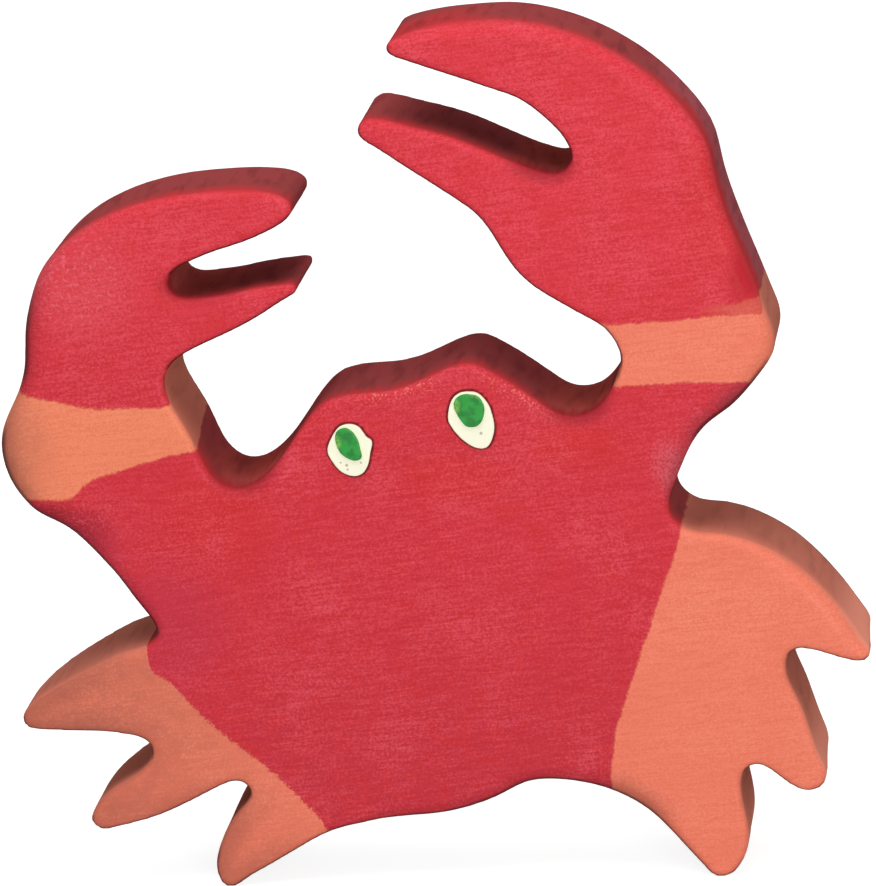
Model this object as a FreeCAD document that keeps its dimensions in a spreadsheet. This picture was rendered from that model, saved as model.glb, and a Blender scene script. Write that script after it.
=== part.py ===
"""Flat wooden toy crab, sawn from one plank, with four raised dabs of eye paint on its front face.

Lengths are in millimetres, +Z is up, +X is the right-hand side of the crab's front, and the front faces -Y.
The origin is in the middle of the crab's bounding box, on the surface that its two feet stand on.
"""
import FreeCAD, Part
import os

import Sketcher
from FreeCAD import Placement, Rotation, Vector

os.makedirs("parts", exist_ok=True)
doc = FreeCAD.newDocument("CrabFigurine")

# Driving dimensions
DIMENSIONS = [
    ("overall_width", 120, "from the left arm's bulge to the tip of the first right toe"),
    ("overall_height", 121.5, "from the feet to the top of the big claw"),
    ("plank_thickness", 22, "the plank that the crab is sawn from"),
    ("foot_flat_depth", 0.25, "sanded off the two lowest toes, so that the crab stands"),
    ("crisp_edge_radius", 0.7, "edge that the saw left, only broken with sandpaper"),
    ("soft_edge_radius", 2.4, "edge sanded round"),
    ("rasped_edge_radius", 3.0, "edge rounded with a rasp"),
    ("heavy_edge_radius", 3.4, "edge rasped twice, behind the claws and the arms"),
    ("full_edge_radius", 6.0, "behind the big claw, rounded most"),
    ("hollow_radius", 21, "the left toes are hollowed out behind, on a sanding drum of this radius"),
    ("hollow_depth", 14.6, "how far the drum goes in before it runs on level"),
    ("hollow_across", -44, "a place on the line where the hollow starts, from the middle of the crab"),
    ("hollow_up", 35, "the same place, from the feet"),
    ("white_thickness", 0.5, "dab of cream paint"),
    ("white_edge_radius", 0.3, "its rounded rim"),
    ("pupil_thickness", 0.35, "dab of green paint on the cream one"),
    ("pupil_edge_radius", 0.25, "its rounded rim"),
    ("left_white_width", 6.0, "left eye's cream dab"),
    ("left_white_height", 7.5, ""),
    ("left_white_across", -10.9, "place of the dab's centre, from the middle of the crab"),
    ("left_white_up", 62.3, "the same, from the feet"),
    ("left_pupil_width", 3.2, "left eye's green dab"),
    ("left_pupil_height", 4.5, ""),
    ("left_pupil_across", -0.3, "place of its centre, from the cream dab's centre"),
    ("left_pupil_up", 0.9, ""),
    ("right_white_width", 6.0, "right eye's cream dab"),
    ("right_white_height", 8.1, ""),
    ("right_white_across", 6.2, ""),
    ("right_white_up", 66.0, ""),
    ("right_pupil_width", 3.9, "right eye's green dab"),
    ("right_pupil_height", 4.5, ""),
    ("right_pupil_across", -0.35, ""),
    ("right_pupil_up", 1.35, ""),
    ("cut_overrun", 2, "how far a cutting tool runs past the wood"),
]
# The way from the wood's middle to the left toes, seen from the front: straight down is 180 degrees
HOLLOW_DIRECTION_DEGREES = -118

sheet = doc.addObject("Spreadsheet::Sheet", "Dimensions")
for row, (alias, value, note) in enumerate(DIMENSIONS, start=1):
    sheet.set(f"A{row}", alias)
    sheet.set(f"B{row}", str(value))
    sheet.set(f"C{row}", note)
    sheet.setAlias(f"B{row}", alias)
doc.recompute()


def size(alias):
    """A driving dimension's value."""
    return float(sheet.get(alias))


# The crab's outline, clockwise from the left arm, seen from the front. Each stretch has the rounding that its
# front edge and its back edge start with, and points as shares of the overall width and the overall height.
OUTLINE_SHARES = [
    ("left_arm_bulge", "rasped", "rasped", [
        (0.031, 0.452), (0.010, 0.4815), (0.0015, 0.507), (0.000, 0.530), (0.0075, 0.557), (0.022, 0.5845)]),
    ("left_claw_side", "rasped", "rasped", [
        (0.033, 0.6185), (0.0365, 0.657), (0.0455, 0.6955), (0.0585, 0.7265)]),
    ("left_claw_back", "soft", "heavy", [
        (0.0815, 0.754), (0.1155, 0.7795), (0.162, 0.800)]),
    ("left_claw_top", "crisp", "heavy", [
        (0.210, 0.811), (0.257, 0.8155), (0.304, 0.816), (0.335, 0.812)]),
    ("left_upper_jaw_tip", "crisp", "crisp", [
        (0.351, 0.805), (0.358, 0.795), (0.356, 0.786), (0.347, 0.777)]),
    ("left_pinch_upper_edge", "crisp", "crisp", [
        (0.329, 0.767), (0.296, 0.754), (0.263, 0.7445)]),
    ("left_pinch_root", "crisp", "crisp", [
        (0.236, 0.7345), (0.2175, 0.7255), (0.209, 0.712), (0.2145, 0.698), (0.229, 0.694)]),
    ("left_pinch_lower_edge", "crisp", "crisp", [
        (0.250, 0.695), (0.279, 0.6985), (0.308, 0.704), (0.333, 0.7065)]),
    ("left_lower_jaw_tip", "crisp", "crisp", [
        (0.350, 0.7085), (0.3553, 0.7073), (0.3585, 0.7033), (0.3585, 0.6982), (0.3552, 0.6942),
        (0.343, 0.6875)]),
    ("left_lower_jaw_underside", "crisp", "crisp", [
        (0.315, 0.6705), (0.280, 0.653), (0.250, 0.6405), (0.230, 0.6315)]),
    ("left_wrist_corner", "crisp", "crisp", [
        (0.213, 0.6215), (0.202, 0.609), (0.199, 0.591)]),
    ("left_arm_inner_side", "crisp", "crisp", [
        (0.2055, 0.571), (0.2165, 0.551), (0.227, 0.5305), (0.236, 0.508)]),
    ("left_bay", "crisp", "crisp", [
        (0.247, 0.4875), (0.261, 0.4755), (0.278, 0.472), (0.295, 0.4775), (0.312, 0.490)]),
    ("left_shoulder", "crisp", "crisp", [
        (0.330, 0.510), (0.347, 0.5335), (0.363, 0.554), (0.381, 0.570), (0.405, 0.5775), (0.435, 0.5795),
        (0.462, 0.5825)]),
    ("head", "crisp", "crisp", [
        (0.489, 0.5905), (0.518, 0.603), (0.536, 0.609), (0.553, 0.610), (0.572, 0.602), (0.605, 0.581),
        (0.636, 0.5585)]),
    ("right_bay", "crisp", "crisp", [
        (0.652, 0.5485), (0.668, 0.5455), (0.686, 0.549), (0.702, 0.561), (0.7135, 0.577), (0.7205, 0.5935),
        (0.7235, 0.611), (0.7185, 0.628)]),
    ("right_claw_inner_side", "crisp", "crisp", [
        (0.7065, 0.6445), (0.689, 0.656), (0.657, 0.675), (0.6255, 0.6965), (0.6025, 0.7225), (0.5865, 0.750),
        (0.5685, 0.7765), (0.547, 0.7945), (0.5155, 0.816), (0.482, 0.839), (0.4545, 0.8585)]),
    ("right_lower_jaw_tip", "crisp", "crisp", [
        (0.4385, 0.8695), (0.4345, 0.8805), (0.442, 0.891), (0.458, 0.8935)]),
    ("right_lower_jaw_top_edge", "crisp", "crisp", [
        (0.487, 0.886), (0.5215, 0.8765), (0.556, 0.8645), (0.590, 0.849), (0.624, 0.8335)]),
    ("right_pinch_root", "crisp", "crisp", [
        (0.646, 0.8255), (0.662, 0.823), (0.674, 0.830), (0.6775, 0.844), (0.6715, 0.861)]),
    ("right_upper_jaw_lower_edge", "crisp", "crisp", [
        (0.658, 0.878), (0.641, 0.894), (0.620, 0.909), (0.589, 0.921), (0.550, 0.9355), (0.511, 0.9495)]),
    ("right_upper_jaw_tip", "crisp", "crisp", [
        (0.4842, 0.9595), (0.4763, 0.9633), (0.4725, 0.9695), (0.4747, 0.9768), (0.4825, 0.9828)]),
    ("right_claw_top", "crisp", "crisp", [
        (0.503, 0.990), (0.537, 0.997), (0.577, 1.000)]),
    ("right_claw_back", "soft", "full", [
        (0.612, 0.9995), (0.647, 0.994), (0.6855, 0.982), (0.730, 0.9605), (0.769, 0.933)]),
    ("right_claw_shoulder", "soft", "full", [
        (0.801, 0.902), (0.8245, 0.8705), (0.837, 0.841)]),
    ("right_claw_side", "soft", "heavy", [
        (0.8425, 0.809), (0.8525, 0.771), (0.867, 0.730), (0.882, 0.690), (0.8945, 0.656)]),
    ("right_arm_bulge", "soft", "heavy", [
        (0.902, 0.632), (0.9005, 0.612), (0.891, 0.595), (0.8725, 0.5725)]),
    ("right_arm_underside", "soft", "soft", [
        (0.848, 0.548), (0.826, 0.533), (0.808, 0.5155), (0.794, 0.492)]),
    ("right_armpit", "crisp", "crisp", [
        (0.7835, 0.469), (0.775, 0.450), (0.774, 0.430), (0.784, 0.4165), (0.800, 0.4085)]),
    ("right_legs_hip", "crisp", "soft", [
        (0.825, 0.406), (0.857, 0.3985)]),
    ("right_legs_back", "soft", "heavy", [
        (0.891, 0.3825), (0.925, 0.3575)]),
    ("right_first_toe_back", "soft", "soft", [
        (0.953, 0.3295), (0.975, 0.299)]),
    ("right_first_toe_tip", "crisp", "crisp", [
        (0.9895, 0.275), (0.9968, 0.2658), (0.998, 0.2575), (0.991, 0.2515), (0.979, 0.2505)]),
    ("right_first_toe_underside", "crisp", "crisp", [
        (0.959, 0.2555), (0.9375, 0.263)]),
    ("right_first_notch", "crisp", "crisp", [
        (0.918, 0.267), (0.9055, 0.2635), (0.900, 0.251), (0.903, 0.231)]),
    ("right_second_toe", "crisp", "soft", [
        (0.9145, 0.206), (0.9265, 0.168), (0.9365, 0.1375)]),
    ("right_second_toe_tip", "crisp", "crisp", [
        (0.943, 0.121), (0.938, 0.107), (0.922, 0.099), (0.904, 0.104), (0.885, 0.118)]),
    ("right_second_notch", "crisp", "crisp", [
        (0.8685, 0.130), (0.855, 0.131), (0.8455, 0.1215), (0.843, 0.108)]),
    ("right_third_toe", "crisp", "soft", [
        (0.8445, 0.0905), (0.8485, 0.068), (0.850, 0.044), (0.843, 0.021)]),
    ("right_foot", "crisp", "crisp", [
        (0.831, 0.0065), (0.8165, 0.000), (0.8035, 0.0045), (0.7935, 0.0145)]),
    ("right_foot_side", "crisp", "soft", [
        (0.775, 0.0355), (0.7525, 0.0605), (0.7285, 0.082), (0.695, 0.101)]),
    ("belly_arch", "soft", "soft", [
        (0.660, 0.112), (0.621, 0.117), (0.592, 0.114), (0.562, 0.100)]),
    ("belly", "soft", "soft", [
        (0.520, 0.0855), (0.478, 0.079), (0.4375, 0.0775), (0.396, 0.0715), (0.3635, 0.064)]),
    ("left_foot_side", "crisp", "crisp", [
        (0.324, 0.0445), (0.2855, 0.023), (0.257, 0.0075)]),
    ("left_foot", "crisp", "crisp", [
        (0.2415, 0.000), (0.2285, 0.0085), (0.225, 0.0315)]),
    ("left_third_toe_side", "crisp", "crisp", [
        (0.2305, 0.0515), (0.240, 0.0715)]),
    ("left_second_notch", "crisp", "crisp", [
        (0.2565, 0.093), (0.2685, 0.107), (0.2675, 0.120), (0.255, 0.126)]),
    ("left_second_toe_underside", "crisp", "crisp", [
        (0.232, 0.119), (0.198, 0.1025), (0.152, 0.084), (0.116, 0.0755)]),
    ("left_second_toe_tip", "crisp", "crisp", [
        (0.093, 0.0725), (0.081, 0.083), (0.0865, 0.1005), (0.105, 0.119)]),
    ("left_first_notch", "crisp", "crisp", [
        (0.133, 0.136), (0.1545, 0.155), (0.155, 0.173), (0.1315, 0.1835)]),
    ("left_first_toe_underside", "crisp", "crisp", [
        (0.099, 0.188), (0.068, 0.190), (0.0385, 0.191)]),
    ("left_first_toe_tip", "crisp", "crisp", [
        (0.0175, 0.1938), (0.0096, 0.1988), (0.0067, 0.2066), (0.0088, 0.2144), (0.0158, 0.2218)]),
    ("left_first_toe_back", "crisp", "crisp", [
        (0.0285, 0.2315), (0.063, 0.2515), (0.0985, 0.269), (0.130, 0.2825)]),
    ("left_hip", "crisp", "crisp", [
        (0.158, 0.290), (0.171, 0.3005), (0.167, 0.315), (0.155, 0.331)]),
    ("left_side", "soft", "soft", [
        (0.140, 0.352), (0.126, 0.372)]),
    ("left_arm_underside", "soft", "soft", [
        (0.102, 0.4), (0.068, 0.430)]),
]

# Outlines of the dabs of paint, as shares of each dab's half width and half height from its centre.
LEFT_WHITE_SHARES = [
    (-0.15, 1.00), (0.42, 0.84), (0.72, 0.52), (1.00, 0.26), (0.90, -0.22), (0.70, -0.74), (0.28, -1.00),
    (-0.32, -0.84), (-0.84, -0.36), (-1.00, 0.14), (-0.74, 0.66)]
LEFT_PUPIL_SHARES = [
    (-0.34, 1.00), (0.38, 0.72), (0.84, 0.12), (0.98, -0.52), (0.60, -1.00), (-0.20, -0.72), (-0.72, -0.14),
    (-1.00, 0.56)]
RIGHT_WHITE_SHARES = [
    (-0.12, 1.00), (0.42, 0.82), (0.82, 0.34), (1.00, -0.26), (0.84, -0.80), (0.46, -1.00), (-0.10, -0.86),
    (-0.66, -0.46), (-1.00, 0.06), (-0.86, 0.66)]
RIGHT_PUPIL_SHARES = [
    (0.04, 1.00), (0.74, 0.76), (1.00, 0.10), (0.72, -0.64), (0.16, -1.00), (-0.44, -0.70), (-0.98, -0.02),
    (-0.76, 0.72)]


def closed_spline(points):
    """A smooth closed curve through the points, with each step's parameter the root of its length."""
    steps = [(after - before).Length ** 0.5 for before, after in zip(points, points[1:] + points[:1])]
    parameters = [0.0]
    for step in steps:
        parameters.append(parameters[-1] + step)
    curve = Part.BSplineCurve()
    curve.interpolate(Points=points, PeriodicFlag=True, Parameters=parameters)
    return curve, parameters


def origin_plane(body, role):
    """One of the body's own origin planes."""
    return next(plane for plane in body.Origin.OriginFeatures if plane.Role == role)


def front_sketch(body, name, distance_expression):
    """A sketch parallel to the crab's front, moved towards the front by the expression's length."""
    sketch = body.newObject("Sketcher::SketchObject", name)
    sketch.AttachmentSupport = [(origin_plane(body, "XZ_Plane"), "")]
    sketch.MapMode = "FlatFace"
    sketch.setExpression("AttachmentOffset.Base.z", distance_expression)
    return sketch


paint_relief = "(Dimensions.white_thickness + Dimensions.pupil_thickness)"
plank_back = f"(Dimensions.plank_thickness + {paint_relief}) / 2"
plank_front = f"(Dimensions.plank_thickness - {paint_relief}) / 2"
back_depth = (size("plank_thickness") + size("white_thickness") + size("pupil_thickness")) / 2
front_depth = back_depth - size("plank_thickness")

# The blank: the outline sawn through the plank
outline_points = []
stretch_starts = []
for stretch, front_edge, back_edge, shares in OUTLINE_SHARES:
    stretch_starts.append(len(outline_points))
    for across_share, up_share in shares:
        across = (across_share - 0.5) * size("overall_width")
        up = up_share * (size("overall_height") + size("foot_flat_depth")) - size("foot_flat_depth")
        outline_points.append(Vector(across, up, 0))
outline, point_parameters = closed_spline(outline_points)
start_parameters = [point_parameters[start] for start in stretch_starts]
end_parameters = start_parameters[1:] + [point_parameters[-1]]

blank = doc.addObject("PartDesign::Body", "Blank")
silhouette = front_sketch(blank, "Silhouette", f"-{plank_back}")
for start, end in zip(start_parameters, end_parameters):
    piece = outline.copy()
    piece.segment(start, end)
    silhouette.addGeometry(piece, False)
sawn_blank = blank.newObject("PartDesign::Pad", "SawnBlank")
sawn_blank.Profile = silhouette
sawn_blank.setExpression("Length", "Dimensions.plank_thickness")
doc.recompute()


def bend_radius(parameter):
    """The outline's own radius where it bends outwards, and infinity where it is straight or bends inwards."""
    curvature = outline.curvature(parameter)
    if curvature * size("overall_width") < 1:
        return float("inf")
    towards_centre = outline.centerOfCurvature(parameter) - outline.value(parameter)
    tangent = outline.tangent(parameter)[0]
    inwards = Vector(tangent.y, -tangent.x, 0)
    return 1 / curvature if towards_centre.dot(inwards) > 0 else float("inf")


def starting_radii(side):
    """The front (0) or back (1) edge's radius at each stretch's start: the one that the stretch names, or
    less where the wood bends too tightly for it."""
    radii = [size(f"{stretch[1 + side]}_edge_radius") for stretch in OUTLINE_SHARES]
    for stretch, (start, end) in enumerate(zip(start_parameters, end_parameters)):
        following = (stretch + 1) % len(radii)
        for step in range(BEND_STEPS + 1):
            along = step / BEND_STEPS
            wanted = radii[stretch] + (radii[following] - radii[stretch]) * along
            allowed = BEND_SHARE * bend_radius(start + (end - start) * along)
            if allowed < wanted:
                radii[stretch] *= allowed / wanted
                radii[following] *= allowed / wanted
    return radii


# A rounding takes at most this share of the radius of an outward bend, looked at in this many steps a stretch
BEND_SHARE = 0.88
BEND_STEPS = 24
edge_radii = [starting_radii(0), starting_radii(1)]


def rounding(parameter, side):
    """The edge's radius at a place on the outline, which changes steadily from one stretch's start to the next."""
    parameter %= end_parameters[-1]
    stretch = max(k for k, start in enumerate(start_parameters) if start <= parameter)
    here, there = edge_radii[side][stretch], edge_radii[side][(stretch + 1) % len(OUTLINE_SHARES)]
    start, end = start_parameters[stretch], end_parameters[stretch]
    return here + (there - here) * (parameter - start) / (end - start)


def rim_roundings(shape):
    """The number and the two end radii of each edge between the sawn wall and the front or back face."""
    rims = []
    whole = end_parameters[-1]
    closeness = size("crisp_edge_radius") / 10
    for number, edge in enumerate(shape.Edges, start=1):
        first, last = edge.FirstParameter, edge.LastParameter
        places = [edge.valueAt(first), edge.valueAt((first + last) / 2), edge.valueAt(last)]
        flat = [Vector(place.x, place.z, 0) for place in places]
        parameters = [outline.parameter(point) for point in flat]
        if any(outline.value(p).distanceToPoint(point) > closeness for p, point in zip(parameters, flat)):
            continue
        if flat[0].distanceToPoint(flat[2]) < closeness:
            continue
        side = 0 if places[1].y < 0 else 1
        middle = parameters[1]
        ends = [p + whole * round((middle - p) / whole) for p in (parameters[0], parameters[2])]
        rims.append((number, rounding(ends[0], side), rounding(ends[1], side)))
    return rims


# Its edges, sanded and rasped by different amounts along the outline
rounded_blank = doc.addObject("Part::Fillet", "RoundedBlank")
rounded_blank.Base = blank
rounded_blank.Edges = rim_roundings(blank.Shape)
doc.recompute()

# Behind the left toes the wood is hollowed out, deeper towards their tips: the waste is what lies past the drum
waste = doc.addObject("PartDesign::Body", "HollowWaste")
hollow_sketch = waste.newObject("Sketcher::SketchObject", "HollowSection")
hollow_sketch.AttachmentSupport = [(origin_plane(waste, "YZ_Plane"), "")]
hollow_sketch.MapMode = "FlatFace"
hollow_sketch.AttachmentOffset = Placement(Vector(), Rotation(Vector(1, 0, 0), HOLLOW_DIRECTION_DEGREES))
hollow_sketch.setExpression("AttachmentOffset.Base.y", "Dimensions.hollow_up")
hollow_sketch.setExpression("AttachmentOffset.Base.z", "Dimensions.hollow_across")
drum, depth, past_toes = size("hollow_radius"), size("hollow_depth"), size("overall_width")
drum_circle = Part.Circle(Vector(back_depth - drum, 0, 0), Vector(0, 0, 1), drum)
full_depth = Vector(back_depth - depth, (drum ** 2 - (drum - depth) ** 2) ** 0.5, 0)
drum_arc = Part.ArcOfCircle(drum_circle, 0, drum_circle.parameter(full_depth))
behind = back_depth + size("cut_overrun")
ARC, START_SIDE, BACK_SIDE, END_SIDE, LEVEL = range(5)
hollow_sketch.addGeometry([
    drum_arc,
    Part.LineSegment(drum_arc.StartPoint, Vector(behind, 0, 0)),
    Part.LineSegment(Vector(behind, 0, 0), Vector(behind, past_toes, 0)),
    Part.LineSegment(Vector(behind, past_toes, 0), Vector(full_depth.x, past_toes, 0)),
    Part.LineSegment(Vector(full_depth.x, past_toes, 0), full_depth)], False)
hollow_sketch.addConstraint([
    Sketcher.Constraint("Coincident", ARC, 1, START_SIDE, 1),
    Sketcher.Constraint("Coincident", START_SIDE, 2, BACK_SIDE, 1),
    Sketcher.Constraint("Coincident", BACK_SIDE, 2, END_SIDE, 1),
    Sketcher.Constraint("Coincident", END_SIDE, 2, LEVEL, 1),
    Sketcher.Constraint("Coincident", LEVEL, 2, ARC, 2),
    Sketcher.Constraint("PointOnObject", ARC, 1, -1),
    Sketcher.Constraint("PointOnObject", ARC, 3, -1),
    Sketcher.Constraint("Horizontal", START_SIDE),
    Sketcher.Constraint("Vertical", BACK_SIDE),
    Sketcher.Constraint("Horizontal", END_SIDE),
    Sketcher.Constraint("Vertical", LEVEL)])


def drive(sketch, constraint, expression):
    """Adds a constraint whose length follows the dimensions."""
    index = sketch.addConstraint(constraint)
    sketch.setExpression(f"Constraints[{index}]", expression)


drive(hollow_sketch, Sketcher.Constraint("Radius", ARC, drum), "Dimensions.hollow_radius")
drive(hollow_sketch, Sketcher.Constraint("DistanceX", -1, 1, ARC, 1, back_depth), plank_back)
drive(hollow_sketch, Sketcher.Constraint("DistanceX", -1, 1, START_SIDE, 2, behind),
      f"{plank_back} + Dimensions.cut_overrun")
drive(hollow_sketch, Sketcher.Constraint("DistanceX", -1, 1, LEVEL, 1, full_depth.x),
      f"{plank_back} - Dimensions.hollow_depth")
drive(hollow_sketch, Sketcher.Constraint("DistanceY", -1, 1, BACK_SIDE, 2, past_toes),
      "Dimensions.overall_width")
hollow_waste = waste.newObject("PartDesign::Pad", "Waste")
hollow_waste.Profile = hollow_sketch
hollow_waste.SideType = "Symmetric"
hollow_waste.setExpression("Length", "2 * Dimensions.overall_width")
hollowed_blank = doc.addObject("Part::Cut", "HollowedBlank")
hollowed_blank.Base = rounded_blank
hollowed_blank.Tool = waste
doc.recompute()
print("sawn volume", round(blank.Shape.Volume), "rounded", round(rounded_blank.Shape.Volume),
      "hollowed", round(hollowed_blank.Shape.Volume))

# The two lowest toes, sanded flat where they stand
sander = doc.addObject("Part::Box", "FootSander")
sander.setExpression("Length", "Dimensions.overall_width + 2 * Dimensions.cut_overrun")
sander.setExpression("Width", "Dimensions.plank_thickness + 2 * Dimensions.cut_overrun")
sander.setExpression("Height", "Dimensions.foot_flat_depth + Dimensions.cut_overrun")
sander.setExpression("Placement.Base.x", "-Length / 2")
sander.setExpression("Placement.Base.y", "-Width / 2")
sander.setExpression("Placement.Base.z", "-Height")
crab_blank = doc.addObject("Part::Cut", "CrabBlank")
crab_blank.Base = hollowed_blank
crab_blank.Tool = sander
crab_blank.Label = "crab_blank"
doc.recompute()


def paint_dab(label, shares, carrier, distance, thickness, edge_radius):
    """A raised dab of paint: its outline, its thickness from a face parallel to the front, and a soft rim.

    The carrier is the list of dabs whose centre offsets add up to this dab's own.
    """
    width, height = size(f"{label}_width"), size(f"{label}_height")
    points = [Vector(across * width / 2, up * height / 2, 0) for across, up in shares]
    body = doc.addObject("PartDesign::Body", label.title().replace("_", ""))
    sketch = front_sketch(body, "Outline", distance)
    sketch.setExpression("AttachmentOffset.Base.x", " + ".join(f"Dimensions.{dab}_across" for dab in carrier))
    sketch.setExpression("AttachmentOffset.Base.y", " + ".join(f"Dimensions.{dab}_up" for dab in carrier))
    sketch.addGeometry(closed_spline(points)[0], False)
    dab = body.newObject("PartDesign::Pad", "Paint")
    dab.Profile = sketch
    dab.setExpression("Length", f"Dimensions.{thickness}")
    doc.recompute()
    outer = dab.Shape.BoundBox.YMin
    rim = [f"Edge{number}" for number, edge in enumerate(dab.Shape.Edges, start=1)
           if edge.BoundBox.YMax - outer < size(thickness) / 2]
    soft_rim = body.newObject("PartDesign::Fillet", "SoftRim")
    soft_rim.Base = (dab, rim)
    soft_rim.setExpression("Radius", f"Dimensions.{edge_radius}")
    doc.recompute()
    body.Label = label
    return body


on_white = f"{plank_front} + Dimensions.white_thickness"
left_white = paint_dab("left_white", LEFT_WHITE_SHARES, ["left_white"],
                       plank_front, "white_thickness", "white_edge_radius")
left_pupil = paint_dab("left_pupil", LEFT_PUPIL_SHARES, ["left_white", "left_pupil"],
                       on_white, "pupil_thickness", "pupil_edge_radius")
right_white = paint_dab("right_white", RIGHT_WHITE_SHARES, ["right_white"],
                        plank_front, "white_thickness", "white_edge_radius")
right_pupil = paint_dab("right_pupil", RIGHT_PUPIL_SHARES, ["right_white", "right_pupil"],
                        on_white, "pupil_thickness", "pupil_edge_radius")
left_white.Label, left_pupil.Label = "left_eye_white", "left_eye_pupil"
right_white.Label, right_pupil.Label = "right_eye_white", "right_eye_pupil"
sub_parts = [crab_blank, left_white, left_pupil, right_white, right_pupil]

# Nothing is written unless every object and every solid is sound
for item in doc.Objects:
    if "Invalid" in item.State or "Error" in item.State:
        raise RuntimeError(f"{item.Name} failed: {item.State}")
for sub_part in sub_parts:
    shape = sub_part.Shape
    if shape.isNull() or not shape.isValid() or len(shape.Solids) != 1:
        raise RuntimeError(f"{sub_part.Label} isn't one sound solid")
for sub_part in sub_parts:
    sub_part.Shape.exportStep(f"parts/{sub_part.Label}.step")
    box = sub_part.Shape.BoundBox
    print(sub_part.Label, "volume", round(sub_part.Shape.Volume, 2),
          "from", [round(v, 2) for v in (box.XMin, box.YMin, box.ZMin)],
          "to", [round(v, 2) for v in (box.XMax, box.YMax, box.ZMax)])
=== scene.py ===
# %% [markdown]
# # A wooden toy crab
# This lesson dresses a flat toy crab that is sawn from one plank of hardwood. The construction already
# exists: a solid for the sawn and sanded wood, and four thin solids for the dabs of eye paint. What is left
# to make is what the eye notices: sanded edges that are never quite even, wood grain that shows through the
# stain, the painter's edges between red and coral, and thick drops of enamel for the eyes.

# %% Load the solids
import math
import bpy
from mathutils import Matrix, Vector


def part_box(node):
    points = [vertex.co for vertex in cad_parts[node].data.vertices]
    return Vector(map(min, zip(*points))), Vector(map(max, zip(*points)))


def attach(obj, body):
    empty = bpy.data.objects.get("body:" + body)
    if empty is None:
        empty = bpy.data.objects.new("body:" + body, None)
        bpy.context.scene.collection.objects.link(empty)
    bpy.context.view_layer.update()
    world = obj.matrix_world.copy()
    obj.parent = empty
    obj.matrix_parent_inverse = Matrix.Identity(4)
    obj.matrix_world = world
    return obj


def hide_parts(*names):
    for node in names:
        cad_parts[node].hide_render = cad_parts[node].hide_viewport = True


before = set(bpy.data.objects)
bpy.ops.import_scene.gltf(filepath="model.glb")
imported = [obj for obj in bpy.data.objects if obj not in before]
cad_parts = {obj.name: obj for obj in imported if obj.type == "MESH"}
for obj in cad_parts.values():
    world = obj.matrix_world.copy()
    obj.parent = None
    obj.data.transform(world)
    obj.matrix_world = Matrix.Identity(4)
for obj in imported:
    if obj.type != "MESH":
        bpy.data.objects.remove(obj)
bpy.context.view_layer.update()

from types import SimpleNamespace

import bmesh
import bpy
from mathutils import Matrix, Vector

MM = 0.001
for name in sorted(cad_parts):
    low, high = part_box(name)
    print(name, "from", [round(v / MM, 2) for v in low], "to", [round(v / MM, 2) for v in high], "mm")

# %% [markdown]
# ## The camera
# The photographer stood well back with a long lens, a little above the crab and a little to its right, and
# held the camera slightly turned, so that the crab leans. A camera object looks along its own -Z, so it is
# aimed by building that direction and then rolling about it.

# %% The camera
CAMERA_PLACE = Vector((98.3, -910.6, 266.8)) * MM
CAMERA_AIM = Vector((1.35, -10.6, 63.0)) * MM
CAMERA_ROLL_DEGREES = -2.91
LENS_MM = 274.1
SENSOR_LONG_SIDE_MM = 36


def looking(place, aim):
    """The matrix of a camera or a lamp that stands at a place and looks at its aim."""
    return Matrix.Translation(place) @ (aim - place).to_track_quat("-Z", "Y").to_matrix().to_4x4()


camera = bpy.data.objects.new("camera", bpy.data.cameras.new("camera"))
camera.data.lens = LENS_MM
camera.data.sensor_width = SENSOR_LONG_SIDE_MM
camera_roll = Matrix.Rotation(math.radians(CAMERA_ROLL_DEGREES), 4, "Z")
camera.matrix_world = looking(CAMERA_PLACE, CAMERA_AIM) @ camera_roll
bpy.context.scene.collection.objects.link(camera)
bpy.context.scene.camera = camera
print("camera", round((CAMERA_AIM - CAMERA_PLACE).length / MM), "mm from the crab")

# %% [markdown]
# ## Wiring nodes with arithmetic
# Materials and Geometry Nodes are built from the same Math nodes. Writing them one by one hides the formula,
# so a small class wraps an output socket and lets Python's own operators add the Math node. A bench holds one
# node tree, and its `node` method adds any other node: settings first, then the values or links of its
# sockets.

# %% Arithmetic on sockets
class Wire:
    """An output socket of a node tree. Each operator on it adds one Math node."""

    def __init__(self, bench, socket):
        self.bench = bench
        self.socket = socket

    def __add__(self, other):
        return self.bench.maths("ADD", self, other)

    def __sub__(self, other):
        return self.bench.maths("SUBTRACT", self, other)

    def __rsub__(self, other):
        return self.bench.maths("SUBTRACT", other, self)

    def __mul__(self, other):
        return self.bench.maths("MULTIPLY", self, other)

    def __truediv__(self, other):
        return self.bench.maths("DIVIDE", self, other)

    def __abs__(self):
        return self.bench.maths("ABSOLUTE", self)

    __radd__ = __add__
    __rmul__ = __mul__


# %% A bench for one node tree
def find_socket(sockets, name):
    """A socket by its number, or the one in use that has the name."""
    if isinstance(name, int):
        return sockets[name]
    return next(s for s in sockets if s.enabled and name in (s.name, s.identifier))


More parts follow.
